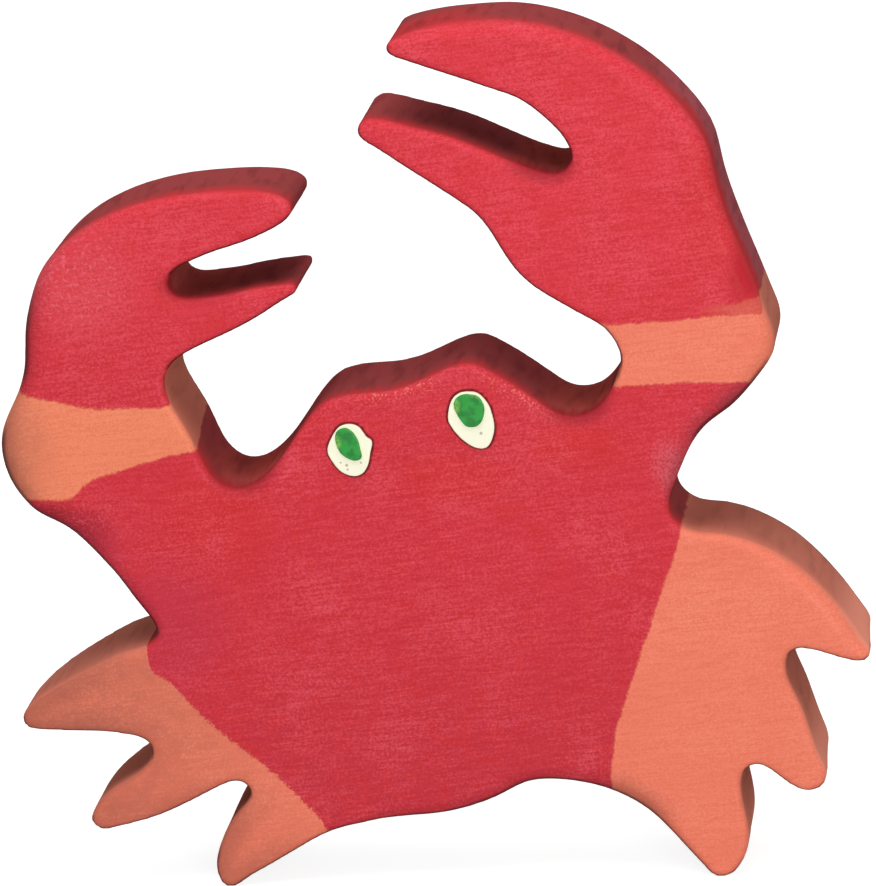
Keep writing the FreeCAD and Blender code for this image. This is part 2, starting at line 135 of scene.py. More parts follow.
class Bench:
    """One node tree, with a method for each kind of node that the crab needs often."""

    def __init__(self, tree):
        self.tree = tree
        tree.nodes.clear()

    def node(self, kind, settings=None, sockets=None, output=0):
        """Adds a node and returns one of its outputs, or a list of them where `output` is a list of names.

        A socket takes a value, a wire, or a list of wires where it can hold several."""
        made = self.tree.nodes.new(kind)
        for name, value in (settings or {}).items():
            if name == "curve":
                self.set_curve(made.mapping, value)
            else:
                setattr(made, name, value)
        for name, value in (sockets or {}).items():
            socket = find_socket(made.inputs, name)
            wires = value if isinstance(value, list) else [value]
            if isinstance(wires[0], Wire):
                for wire in wires:
                    self.tree.links.new(wire.socket, socket)
            else:
                socket.default_value = value
        if not made.outputs:
            return None
        if isinstance(output, list):
            return [Wire(self, find_socket(made.outputs, name)) for name in output]
        return Wire(self, find_socket(made.outputs, output))

    @staticmethod
    def set_curve(mapping, points):
        """Gives a float curve its points, from left to right."""
        curve = mapping.curves[0]
        while len(curve.points) < len(points):
            curve.points.new(1.0, 1.0)
        for point, place in zip(curve.points, points):
            point.location = place
            point.handle_type = "AUTO_CLAMPED"
        mapping.update()

    def maths(self, operation, *values):
        return self.node("ShaderNodeMath", {"operation": operation}, dict(enumerate(values)))

    def larger(self, first, second):
        return self.maths("MAXIMUM", first, second)

    def vector(self, operation, *values):
        return self.node("ShaderNodeVectorMath", {"operation": operation}, dict(enumerate(values)))

    def scale(self, vector, factor):
        return self.node("ShaderNodeVectorMath", {"operation": "SCALE"}, {"Vector": vector, "Scale": factor})

    def split(self, vector):
        """A vector's three numbers: across, deep and up on this crab."""
        return self.node("ShaderNodeSeparateXYZ", {}, {0: vector}, output=["X", "Y", "Z"])

    def join(self, *numbers):
        """A vector from its three numbers."""
        return self.node("ShaderNodeCombineXYZ", {}, dict(enumerate(numbers)))

    def fade(self, value, low, high):
        """0 below low, 1 above high, and a soft slope between them. Low may be the higher one."""
        return self.node("ShaderNodeMapRange", {"interpolation_type": "SMOOTHSTEP"},
                         {"Value": value, "From Min": low, "From Max": high})

    def noise(self, place, size, detail=2.0, roughness=0.5):
        """Noise about 0.5, whose lumps are about as far apart as size, in the units of place."""
        return self.node("ShaderNodeTexNoise", {}, {
            "Vector": place, "Scale": 1 / size, "Detail": detail, "Roughness": roughness})

    def lumps(self, place, lengths, seed):
        """Noise about 0.5 whose lumps have a length for each direction. The seed picks the pattern."""
        return self.node("ShaderNodeTexNoise", {"noise_dimensions": "4D"}, {
            "Vector": self.vector("DIVIDE", place, self.join(*lengths)), "W": seed,
            "Scale": 1.0, "Detail": 2.0})

    def mix(self, factor, first, second):
        """A mix of two colours."""
        return self.node("ShaderNodeMix", {"data_type": "RGBA"}, {"Factor": factor, "A": first, "B": second},
                         output="Result")

    def over(self, base, tint, where, strength):
        """The base colour, with a tint over it: at its full strength where `where` is 1."""
        return self.mix(where * strength, base, tint)


def colour(red, green, blue):
    """A colour from its red, green and blue on the 0 to 255 scale of a colour picker."""
    def linear(value):
        share = value / 255
        return share / 12.92 if share <= 0.04045 else ((share + 0.055) / 1.055) ** 2.4
    return (linear(red), linear(green), linear(blue), 1.0)


# %% [markdown]
# ## Floor and light
# The toy is shown on plain white. The floor glows for the camera alone, and the room is brighter to the camera
# than to the crab, which makes both white without more light on the crab. The floor still shows where the toes
# stand. Three wide, soft lamps light the toy. The strongest hangs close to the camera and level with the crab,
# so the front is evenly lit and the sawn walls above it fall into shade. A weaker one hangs overhead, and one
# behind shows the back.

# %% What the camera sees
WHITE = (1.0, 1.0, 1.0, 1.0)


def seen_by_camera(bench):
    """1 for what the camera sees, also in a reflection or through glass, and 0 for all other light."""
    camera_ray, glossy_ray, transmission_ray = bench.node("ShaderNodeLightPath", output=[
        "Is Camera Ray", "Is Glossy Ray", "Is Transmission Ray"])
    return bench.larger(bench.larger(camera_ray, glossy_ray), transmission_ray)


# %% The floor
FLOOR_HALF = 3000 * MM
FLOOR_GREY = (0.5, 0.5, 0.5, 1.0)
FLOOR_GLOW = 0.85
floor_corners = [(-FLOOR_HALF, -FLOOR_HALF, 0), (FLOOR_HALF, -FLOOR_HALF, 0), (FLOOR_HALF, FLOOR_HALF, 0),
                 (-FLOOR_HALF, FLOOR_HALF, 0)]
floor_mesh = bpy.data.meshes.new("floor")
floor_mesh.from_pydata(floor_corners, [], [(0, 1, 2, 3)])
floor = bpy.data.objects.new("floor", floor_mesh)
bpy.context.scene.collection.objects.link(floor)

paper = bpy.data.materials.new("white_paper")
paper.use_nodes = True
bench = Bench(paper.node_tree)
matt = bench.node("ShaderNodeBsdfDiffuse", {}, {"Color": FLOOR_GREY}, output="BSDF")
glow = bench.node("ShaderNodeEmission", {}, {"Color": WHITE, "Strength": seen_by_camera(bench) * FLOOR_GLOW},
                  output="Emission")
both = bench.node("ShaderNodeAddShader", {}, {0: matt, 1: glow})
bench.node("ShaderNodeOutputMaterial", {}, {"Surface": both})
floor_mesh.materials.append(paper)
print("floor", round(2 * FLOOR_HALF / MM), "mm wide")

# %% The room's light
AMBIENT = 0.36
world = bpy.data.worlds.new("studio")
bpy.context.scene.world = world
world.use_nodes = True
bench = Bench(world.node_tree)
room_light = seen_by_camera(bench) * (1 - AMBIENT) + AMBIENT
backdrop = bench.node("ShaderNodeBackground", {}, {"Color": WHITE, "Strength": room_light},
                      output="Background")
bench.node("ShaderNodeOutputWorld", {}, {"Surface": backdrop})
print("room light", AMBIENT)

# %% The lamps
# Each lamp's place and side in millimetres, and its watts
LAMPS = {"front_lamp": ((200, -760, 165), 380, 3.45), "top_lamp": ((-60, -200, 660), 420, 1.9),
         "back_lamp": ((-300, 900, 60), 600, 1.8)}
bpy.context.scene.view_settings.view_transform = "Standard"
for name, (place, side, watts) in LAMPS.items():
    light = bpy.data.lights.new(name, "AREA")
    light.shape = "SQUARE"
    light.size = side * MM
    light.energy = watts
    lamp = bpy.data.objects.new(name, light)
    lamp.matrix_world = looking(Vector(place) * MM, CAMERA_AIM)
    bpy.context.scene.collection.objects.link(lamp)
    print(name, watts, "W")

# %% [markdown]
# ## The sanded wood
# The solid has exact edges. Real sanding leaves a surface that waves by a tenth of a millimetre, with edges
# that wander. A copy of the solid is welded and wrapped in an even skin of small faces, which such waves
# need. The right toes are worn rounder behind, so their skin is smoothed there. Then Geometry Nodes press the
# skin inwards by noise: broad waves from the sanding, and fine ridges where the hard grain stands above the
# soft.

# %% A welded copy of the wood
WELD_WITHIN = 0.001 * MM


def welded_copy(node, name):
    """A copy of a solid's mesh with its loose triangles merged."""
    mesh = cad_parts[node].data.copy()
    mesh.name = name
    mesh.materials.clear()
    work = bmesh.new()
    work.from_mesh(mesh)
    bmesh.ops.remove_doubles(work, verts=work.verts, dist=WELD_WITHIN)
    work.to_mesh(mesh)
    work.free()
    return mesh


def finished_mesh(piece):
    """The piece's mesh with its modifiers applied, and the modifiers removed."""
    graph = bpy.context.evaluated_depsgraph_get()
    mesh = bpy.data.meshes.new_from_object(piece.evaluated_get(graph), depsgraph=graph)
    piece.modifiers.clear()
    piece.data = mesh
    return mesh


def new_piece(name, mesh):
    """A new object at the origin."""
    piece = bpy.data.objects.new(name, mesh)
    bpy.context.scene.collection.objects.link(piece)
    return piece


wood = new_piece("sanded_wood", welded_copy("crab_blank", "sanded_wood"))
print("welded wood:", len(wood.data.vertices), "vertices")

# %% The saw's line
# The crab's outline half way through the plank, as a mesh of edges. The stain measures from it. Its points are
# sorted by their place, so that the distance along it starts at the same point on every run.
SAW_LINE_AT = 0.0
cutting = bmesh.new()
cutting.from_mesh(wood.data)
cut = bmesh.ops.bisect_plane(cutting, geom=cutting.verts[:] + cutting.edges[:] + cutting.faces[:],
                             plane_co=(0, SAW_LINE_AT, 0), plane_no=(0, 1, 0))
line_edges = [e for e in cut["geom_cut"] if isinstance(e, bmesh.types.BMEdge)]
line_verts = sorted({v for e in line_edges for v in e.verts}, key=lambda v: v.co[:])
numbers = {v: k for k, v in enumerate(line_verts)}
line_mesh = bpy.data.meshes.new("saw_line")
line_mesh.from_pydata([v.co[:] for v in line_verts], [[numbers[v] for v in e.verts] for e in line_edges], [])
saw_line = new_piece("saw_line", line_mesh)
line_length = sum(e.calc_length() for e in line_edges)
cutting.free()
print("saw line:", round(line_length / MM), "mm long")

# %% An even skin
SKIN_STEP = 0.62 * MM
SKIN_SMOOTHING = 3


def smooth_out(piece, steps):
    """Adds a Smooth modifier, which moves each point half way to its neighbours at each step."""
    smoothing = piece.modifiers.new("smoothing", "SMOOTH")
    smoothing.factor = 0.5
    smoothing.iterations = steps
    return smoothing


def wrap(piece, face_size, smoothing_steps):
    """Wraps a piece in a skin of even faces."""
    skin = piece.modifiers.new("skin", "REMESH")
    skin.mode = "VOXEL"
    skin.voxel_size = face_size
    smooth_out(piece, smoothing_steps)


wrap(wood, SKIN_STEP, SKIN_SMOOTHING)
finished_mesh(wood)
print("skin:", len(wood.data.polygons), "faces")

# %% The worn backs of the right toes
# In millimetres: the wear lies right of one line and below another, and fades in over the feather. It begins at
# the first depth and is full at the second.
WORN_RIGHT_OF = 40.0
WORN_BELOW = 44.0
WEAR_GROWS = -5.0, 6.0
WEAR_FEATHER = 4.0
WEARING_STEPS = 70
toe_backs = wood.vertex_groups.new(name="toe_backs")
for vert in wood.data.vertices:
    across, deep, up = vert.co / MM
    if across > WORN_RIGHT_OF and up < WORN_BELOW:
        backwards = (deep - WEAR_GROWS[0]) / (WEAR_GROWS[1] - WEAR_GROWS[0])
        inside = min(across - WORN_RIGHT_OF, WORN_BELOW - up) / WEAR_FEATHER
        toe_backs.add([vert.index], max(0.0, min(1.0, backwards, inside)), "REPLACE")
smooth_out(wood, WEARING_STEPS).vertex_group = toe_backs.name
finished_mesh(wood)
wood.vertex_groups.clear()
print("worn backs: highest x", round(max(v.co.x for v in wood.data.vertices) / MM, 2), "mm")

# %% [markdown]
# ## A tree for a piece
# The wood and the enamel are each finished by a Geometry Nodes tree. Both take a skin, a few sizes with names
# and a material, and both end alike: instances become real faces, because an export drops instances, and then
# the material is set. So one function opens such a tree and another closes it.

# %% Opening and closing a tree
def piece_tree(name, sizes):
    """A new Geometry Nodes tree: its bench, its inputs by name, and the identifier of its material socket."""
    tree = bpy.data.node_groups.new(name, "GeometryNodeTree")
    tree.interface.new_socket("Geometry", in_out="INPUT", socket_type="NodeSocketGeometry")
    for size_name, value in sizes.items():
        socket = tree.interface.new_socket(size_name, in_out="INPUT", socket_type="NodeSocketFloat")
        socket.default_value = value
    finish = tree.interface.new_socket("Finish", in_out="INPUT", socket_type="NodeSocketMaterial")
    tree.interface.new_socket("Geometry", in_out="OUTPUT", socket_type="NodeSocketGeometry")
    bench = Bench(tree)
    names = ["Geometry", *sizes, "Finish"]
    return bench, dict(zip(names, bench.node("NodeGroupInput", output=names))), finish.identifier


def close_tree(bench, geometry, finish):
    """Ends a tree with smooth, real faces that have their material."""
    smooth = bench.node("GeometryNodeSetShadeSmooth", {}, {"Geometry": geometry})
    whole = bench.node("GeometryNodeRealizeInstances", {}, {"Geometry": smooth})
    dressed = bench.node("GeometryNodeSetMaterial", {}, {"Geometry": whole, "Material": finish})
    bench.node("NodeGroupOutput", {}, {"Geometry": dressed})


def place_on_piece(bench):
    """A point's place in millimetres, inside a Geometry Nodes tree."""
    return bench.vector("DIVIDE", bench.node("GeometryNodeInputPosition"), (MM, MM, MM))


# %% [markdown]
# ## What the sanding stores
# The stain and its painted shade need six facts about each point of the wood, and a material can't work them
# out. So the sanding tree stores them as attributes: how far the point lies from the saw's line, seen from the
# front; how far along that line it is; how much it belongs to the sawn wall; whether it faces the back; whether
# it lies on the underside; and how far the eye paint is.

# %% Pressing the skin
# The tree's sizes in millimetres, and the turn of the grain in radians
SANDING = {"Wave Depth": 0.22, "Wave Length": 13.0, "Ridge Depth": 0.05, "Ridge Width": 0.7,
           "Ridge Length": 9.0, "Grain Turn": 0.08, "Sole Height": 1.5}
WAVE_SEED = 3.0
RIDGE_SEED = 8.0


def pressed_skin(bench, inputs, place, up):
    """The skin, pressed in by broad waves and by ridges along the grain, but not where the crab stands."""
    wave_length = inputs["Wave Length"]
    waves = bench.lumps(place, (wave_length, wave_length, wave_length), WAVE_SEED)
    along_grain = bench.node("ShaderNodeVectorRotate", {"rotation_type": "Y_AXIS"}, {
        "Vector": place, "Angle": inputs["Grain Turn"]})
    ridge_width = inputs["Ridge Width"]
    ridges = bench.lumps(along_grain, (inputs["Ridge Length"], ridge_width, ridge_width), RIDGE_SEED)
    off_sole = bench.fade(up, 0.0, inputs["Sole Height"])
    inwards = (waves * inputs["Wave Depth"] + ridges * inputs["Ridge Depth"]) * off_sole * (-MM)
    offset = bench.scale(bench.node("GeometryNodeInputNormal"), inwards)
    return bench.node("GeometryNodeSetPosition", {}, {"Geometry": inputs["Geometry"], "Offset": offset})


# %% Measuring from the saw's line
MARK_STEP = 0.25


def stored(bench, geometry, name, value):
    """The geometry with a number stored at each of its points."""
    return bench.node("GeometryNodeStoreNamedAttribute", {"data_type": "FLOAT", "domain": "POINT"}, {
        "Geometry": geometry, "Name": name, "Value": value})


def line_facts(bench, line_object, across, up):
    """How far a point lies from the saw's line, seen from the front, and how far along the line that is."""
    line = bench.node("GeometryNodeObjectInfo", {}, {"Object": line_object}, output="Geometry")
    flat_place = bench.join(across * MM, SAW_LINE_AT, up * MM)
    inset = bench.node("GeometryNodeProximity", {"target_element": "EDGES"}, {
        "Target": line, "Source Position": flat_place}, output="Distance") * (1 / MM)
    walked = bench.node("GeometryNodeSplineParameter", output="Length") * (1 / MM)
    steps = bench.node("GeometryNodeResampleCurve", {"mode": "LENGTH"}, {
        "Curve": bench.node("GeometryNodeMeshToCurve", {}, {"Mesh": line}), "Length": MARK_STEP * MM})
    marks = bench.node("GeometryNodeCurveToMesh", {}, {"Curve": stored(bench, steps, "walked", walked)})
    nearest = bench.node("GeometryNodeSampleNearest", {"domain": "POINT"}, {
        "Geometry": marks, "Sample Position": flat_place})
    walked_there = bench.node("GeometryNodeInputNamedAttribute", {"data_type": "FLOAT"}, {"Name": "walked"},
                              output="Attribute")
    along = bench.node("GeometryNodeSampleIndex", {"data_type": "FLOAT", "domain": "POINT"}, {
        "Geometry": marks, "Index": nearest, "Value": walked_there}, output="Value")
    return inset, along


# %% The sanding tree
# The underside gets a painted dark line of shade.
# The underside faces left and down: how much each counts, and how far a wall must turn to be all underside
UNDERSIDE_LEFT = 0.1
UNDERSIDE_DOWN = 0.21
UNDERSIDE_FROM = 0.06


def sanding_tree(line_object, painted):
    """Geometry Nodes that sand a skin and store what the stain and its painted shade need to know."""
    bench, inputs, finish = piece_tree("hand_sanding", SANDING)
    place = place_on_piece(bench)
    across, deep, up = bench.split(place)
    skin = pressed_skin(bench, inputs, place, up)
    inset, along = line_facts(bench, line_object, across, up)
    rightwards, backwards, upwards = bench.split(bench.node("GeometryNodeInputNormal"))
    underside = bench.fade(rightwards * UNDERSIDE_LEFT + upwards * UNDERSIDE_DOWN, 0.0, -UNDERSIDE_FROM)
    paint = bench.node("GeometryNodeJoinGeometry", {}, {0: [
        bench.node("GeometryNodeObjectInfo", {}, {"Object": dab}, output="Geometry") for dab in painted]})
    to_paint = bench.node("GeometryNodeProximity", {"target_element": "FACES"}, {"Target": paint},
                          output="Distance") * (1 / MM)
    facts = {"inset": inset, "along": along, "wall": 1 - abs(backwards), "turned": backwards,
             "underside": underside, "to_paint": to_paint}
    for name, value in facts.items():
        skin = stored(bench, skin, name, value)
    close_tree(bench, skin, inputs["Finish"])
    return bench.tree, finish


# %% [markdown]
# ## Stain on wood
# The stain is thin, so the wood shows through it: fine threads of grain, a mottle where the pores drank more,
# and broad paler clouds. The painter drew the borders between red and coral by hand. They are curves through
# a few places read off the toy, moved by a little noise and feathered by half a millimetre, because stain
# creeps along the fibres.

# %% The coral's borders
# Each border is a list of places (across, up) in millimetres. The right legs' line runs upwards, so its places
# are (up, across).
LEFT_BAND_TOP = [(-60.0, 72.2), (-56.3, 71.3), (-51.4, 70.2), (-44.3, 69.0), (-39.0, 69.0), (-36.1, 69.3),
                 (-28.0, 70.6)]
LEFT_BAND_FOOT = [(-60.0, 55.4), (-53.8, 56.3), (-51.4, 56.3), (-47.5, 58.6), (-43.1, 60.2), (-37.9, 61.6),
                  (-33.0, 62.6), (-28.0, 63.4)]
RIGHT_BAND_TOP = [(18.0, 79.2), (25.0, 79.1), (30.8, 79.1), (36.5, 79.3), (40.0, 79.7), (44.0, 79.8),
                  (48.5, 79.7)]
RIGHT_BAND_FOOT = [(18.0, 69.0), (26.6, 70.0), (30.7, 70.3), (35.7, 70.4), (40.6, 70.3), (44.4, 70.0),
                   (48.5, 69.4)]
OVERLAP_TOP = [(36.0, 80.9), (39.7, 81.2), (43.3, 81.5), (44.5, 81.9), (46.7, 81.9), (50.0, 82.2)]
RIGHT_LEGS_LINE = [(0.0, 22.0), (12.6, 22.8), (17.2, 23.3), (25.8, 25.5), (29.7, 27.1), (37.1, 29.7),
                   (41.2, 31.2), (47.4, 33.5), (50.2, 34.3), (52.3, 34.7), (60.0, 36.0)]
LEFT_LEGS_LINE = [(-60.0, 37.6), (-41.4, 37.4), (-40.5, 32.1), (-38.0, 29.9), (-33.6, 25.0), (-28.7, 20.3),
                  (-24.4, 16.7), (-20.7, 13.1), (-17.0, 8.1), (-14.0, 1.0), (-12.0, -6.0)]


def border(bench, value, places):
    """A smooth curve through the places: the second number for a given first number."""
    firsts = [first for first, second in places]
    seconds = [second for first, second in places]
    start, stretch = min(firsts), max(firsts) - min(firsts)
    base, rise = min(seconds), max(seconds) - min(seconds)
    shares = [((first - start) / stretch, (second - base) / rise) for first, second in places]
    return bench.node("ShaderNodeFloatCurve", {"curve": shares},
                      {"Value": (value - start) / stretch}, output="Value") * rise + base


# %% How the borders stray
FEATHER = 0.22


def stray(bench, place, size, reach, roughness=0.5):
    """How far a border strays at a place: noise of a size, by up to half the reach either way."""
    return (bench.noise(place, size, roughness=roughness) - 0.5) * reach


def beyond(bench, value, limit):
    """1 where the value lies beyond a limit, with a feathered edge."""
    return bench.fade(value - limit, -FEATHER, FEATHER)


# %% Where the wood is coral
# Where a form begins to come or go and where it is all there or gone, in millimetres: depths, then places
# across, then a place up
FRONT = -10.6
FRONT_RIM = FRONT + 0.8, FRONT + 2.6
BACK_RIM = 10.8, 7.0
WRIST = -44.0, -38.0
LEFT_BAND_END = -29.0, -28.0
LEFT_LEGS_END = -13.0, -12.0
RIGHT_SIDE = 18.0, 19.0
OVERLAP = 37.5, 44.0
SHOULDER = 43.0, 45.5
LEGS_TOP = 56.0, 57.0
# How far the bands climb on the walls, and how much the thin overlap covers
BAND_LEAN = 0.12
WRIST_CLIMB = 8.5
SHOULDER_CLIMB = 2.6
OVERLAP_COVER = 0.62


def coral_mask(bench, place):
    """1 where the wood is stained coral, 0 where it is red, and between where thin coral covers red."""
    across, deep, up = bench.split(place)
    dots = stray(bench, place, size=0.32, reach=1.5, roughness=0.7)
    wander = stray(bench, place, size=5.0, reach=1.1) + stray(bench, place, size=0.8, reach=0.5) + dots * 0.4
    on_wall = bench.fade(deep, *FRONT_RIM) * bench.fade(deep, *BACK_RIM)

    def past(value, first, places):
        return beyond(bench, value + wander, border(bench, first, places))

    level = up - (deep - FRONT) * BAND_LEAN
    wrist = on_wall * bench.fade(across, *WRIST) * WRIST_CLIMB
    left_band = (past(level, across, LEFT_BAND_FOOT) * (1 - past(level - wrist, across, LEFT_BAND_TOP))
                 * (1 - bench.fade(across, *LEFT_BAND_END)))
    shoulder = on_wall * bench.fade(across, *SHOULDER) * SHOULDER_CLIMB
    above_foot = past(up, across, RIGHT_BAND_FOOT) * bench.fade(across, *RIGHT_SIDE)
    right_band = above_foot * (1 - past(up - shoulder, across, RIGHT_BAND_TOP))
    overlap = above_foot * (1 - past(up, across, OVERLAP_TOP)) * bench.fade(across, *OVERLAP) * OVERLAP_COVER
    right_legs = past(across, up, RIGHT_LEGS_LINE) * (1 - bench.fade(up, *LEGS_TOP))
    left_legs = (1 - past(up + dots, across, LEFT_LEGS_LINE)) * (1 - bench.fade(across, *LEFT_LEGS_END))
    bands = bench.larger(bench.larger(left_band, right_band), overlap)
    return bench.larger(bands, bench.larger(right_legs, left_legs))


# %% Grain and spots
GRAIN_TURN = 0.1


def grain(bench, place, length, width):
    """Noise drawn out along the wood's fibres. Sizes are in millimetres."""
    laid = bench.node("ShaderNodeMapping", {"vector_type": "TEXTURE"}, {
        "Vector": place, "Rotation": (0.0, -GRAIN_TURN, 0.0), "Scale": (length, width * 3, width)})
    return bench.noise(laid, 1.0, 3.0, 0.6)


def spot(bench, across, up, centre, reach):
    """1 at a centre on the crab's front, fading to 0 at its reach sideways and upwards."""
    sideways, upwards = (across - centre[0]) / reach[0], (up - centre[1]) / reach[1]
    return bench.fade(bench.maths("SQRT", sideways * sideways + upwards * upwards), 1.0, 0.2)


def any_spot(bench, across, up, spots):
    """The strongest of several spots."""
    strongest = spot(bench, across, up, *spots[0])
    for centre, reach in spots[1:]:
        strongest = bench.larger(strongest, spot(bench, across, up, centre, reach))
    return strongest


# %% Colours of the stain
RED = colour(208, 57, 68)
RED_BRIGHT = colour(218, 62, 73)
RED_PALE = colour(230, 94, 108)
RED_DEEP = colour(186, 38, 46)
RED_WARM = colour(210, 54, 54)
RED_DULL = colour(186, 54, 66)
# The dark red of painted shade
RED_DARK = colour(150, 38, 48)
RED_WALL = colour(206, 62, 66)
RED_WALL_BACK = colour(166, 73, 74)
PLUM_WALL = colour(178, 90, 97)
# Painted light: a lighter wall red for the back of the walls in the shaded corners
LIT_CORNER_WALL = colour(202, 90, 80)
# A near-black red, for the saw's blots, for lines of painted shade and for the line round the eyes
RIM_LINE = colour(78, 24, 28)
RED_PLUM = colour(186, 54, 76)
# The plum of painted shade along the right arm's lower rim
ARM_PLUM = colour(146, 62, 74)
PALE_SHEEN = colour(206, 118, 126)
WORN_SPECK = colour(240, 138, 124)
CORAL = colour(237, 127, 102)
CORAL_PALE = colour(247, 150, 122)
CORAL_DEEP = colour(224, 106, 82)
CORAL_DULL = colour(206, 110, 89)
CORAL_WARM = colour(238, 136, 101)
CORAL_BROWN = colour(204, 118, 90)
CORAL_WALL = colour(224, 130, 108)
CORAL_WALL_BACK = colour(212, 126, 106)
# Painted light: the lighter coral of the walls at the right toe tips
LIT_TIP_WALL = colour(255, 160, 136)
CORAL_SHADE = colour(166, 94, 78)

# %% Places where the stain differs, and where light and shade are painted
# Each list holds places: a centre (across, up) and how far it reaches sideways and upwards, in millimetres.
# Painted shade in the corners of the cuts and the bays
SHADED_CORNERS = [((17.5, 100.4), (8.0, 4.0)), ((-31.0, 85.8), (9.0, 3.4)), ((21.5, 66.8), (8.5, 4.5)),
                ((-25.5, 59.0), (7.5, 4.5))]
ARM_TRIANGLE = [((44.4, 85.2), (3.6, 7.0))]
ARMPIT_SHEEN = [((33.0, 59.0), (3.4, 5.5))]
# Painted shade below the left arm's band
SHADED_ELBOW = [((-54.0, 53.6), (5.5, 3.6)), ((-49.0, 50.5), (6.5, 4.0))]
# Where the walls of the right toe tips get painted light
TOE_TIPS = [((59.5, 33.0), (11.0, 9.0)), ((53.0, 13.0), (9.0, 12.0)), ((40.5, 0.0), (7.0, 11.0))]
# Painted shade at the left toe tips
LEFT_TIPS = [((-58.0, 25.0), (11.0, 7.0)), ((-49.0, 10.5), (9.0, 8.0)), ((-33.0, 1.0), (7.0, 9.0))]
# Painted shade in the armpit, under the right arm and below the left band
SHADED_PATCHES = [((43.0, 66.0), (6.0, 3.6)), ((-50.5, 53.0), (7.5, 3.6)), ((34.5, 55.0), (3.0, 4.5))]
WARM_PATCHES = [((-30.0, 53.0), (12.0, 10.0)), ((4.0, 58.0), (14.0, 6.0)), ((40.0, 95.0), (6.0, 14.0)),
                ((20.0, 62.0), (12.0, 5.0))]
# A shiny claw: glossier, with painted glints
SHINY_CLAW = [((-47.5, 87.5), (12.0, 13.0))]
# Painted shade on the rounded left bulge
SHADED_BULGE = [((-61.0, 63.0), (11.0, 15.0))]
RED_TIP = [((1.0, 119.5), (13.0, 7.0))]
WORN_HEAD = [((11.5, 69.0), (12.0, 6.5)), ((-4.0, 70.5), (12.0, 4.0))]
PLUM_RIM = [((-48.0, 48.0), (8.0, 8.0)), ((-38.0, 38.5), (13.0, 12.0))]
# Painted shade along the right arm's lower rim
ARM_RIM = [((43.5, 67.0), (6.0, 5.5)), ((39.5, 62.5), (6.0, 6.0)), ((35.5, 57.0), (4.5, 7.0))]
# Painted shade along rounded edges that turn from the light
SHADED_EDGES = [((-59.0, 83.0), (10.0, 18.0)), ((-62.0, 62.0), (12.0, 13.0)), ((-52.0, 26.0), (20.0, 12.0)),
                ((-34.0, 6.0), (18.0, 12.0)), ((27.0, 12.5), (8.5, 8.5))]

# %% What the stain knows of a point
# How large the patterns of the wood are, in millimetres. Threads and streaks have a length and a width.
CLOUDS = 11.0
MOTTLE = 0.34
THREADS = 3.4, 0.26
STREAKS = 12.0, 0.9
FLECKS = 0.55
SAW_MARKS = 0.7, 14.0


def place_in_material(bench):
    """A point's place in millimetres, inside a material."""
    return bench.scale(bench.node("ShaderNodeTexCoord", output="Object"), 1 / MM)


def wood_point(bench):
    """A point of the wood: its place, the facts that the sanding stored, its stain and its patterns."""
    at = SimpleNamespace(place=place_in_material(bench))
    at.across, at.deep, at.up = bench.split(at.place)
    for fact in ("inset", "wall", "turned", "along", "underside", "to_paint"):
        setattr(at, fact, bench.node("ShaderNodeAttribute", {"attribute_name": fact}, output="Fac"))
    at.coral = coral_mask(bench, at.place)
    at.red = 1 - at.coral
    at.walled = bench.fade(at.wall, 0.3, 0.95)
    at.near = lambda spots: any_spot(bench, at.across, at.up, spots)
    at.clouds = bench.noise(at.place, CLOUDS, 3.0)
    at.mottle = bench.noise(at.place, MOTTLE, 3.0, 0.75)
    at.threads = grain(bench, at.place, *THREADS)
    at.streaks = grain(bench, at.place, *STREAKS)
    at.flecks = bench.fade(bench.noise(at.place, FLECKS), 0.53, 0.66)
    at.peel = at.near(SHINY_CLAW)
    mark_length, mark_depth = SAW_MARKS
    at.marks = bench.noise(bench.join(at.along / mark_length, at.deep / mark_depth, 0.0), 1.0, 3.0, 0.6)
    return at


# %% Stain on the front and the back
# Where the stain's tone and its painted light and shade change across the crab and up it: where each change
# begins and where it is whole
LOW_BODY = 52.0, 4.0
HIGH_CLAWS = 66.0, 92.0
LEFT_SIDE = -10.0, -50.0
LEFT_LEGS = 45.0, 30.0
LEFT_ARM = -20.0, -28.0
ABOVE_LEGS = 48.0, 54.0
# How large the warm blushes and the brown blots are, in millimetres
BLUSHES = 1.6
BROWN_BLOTS = 2.2


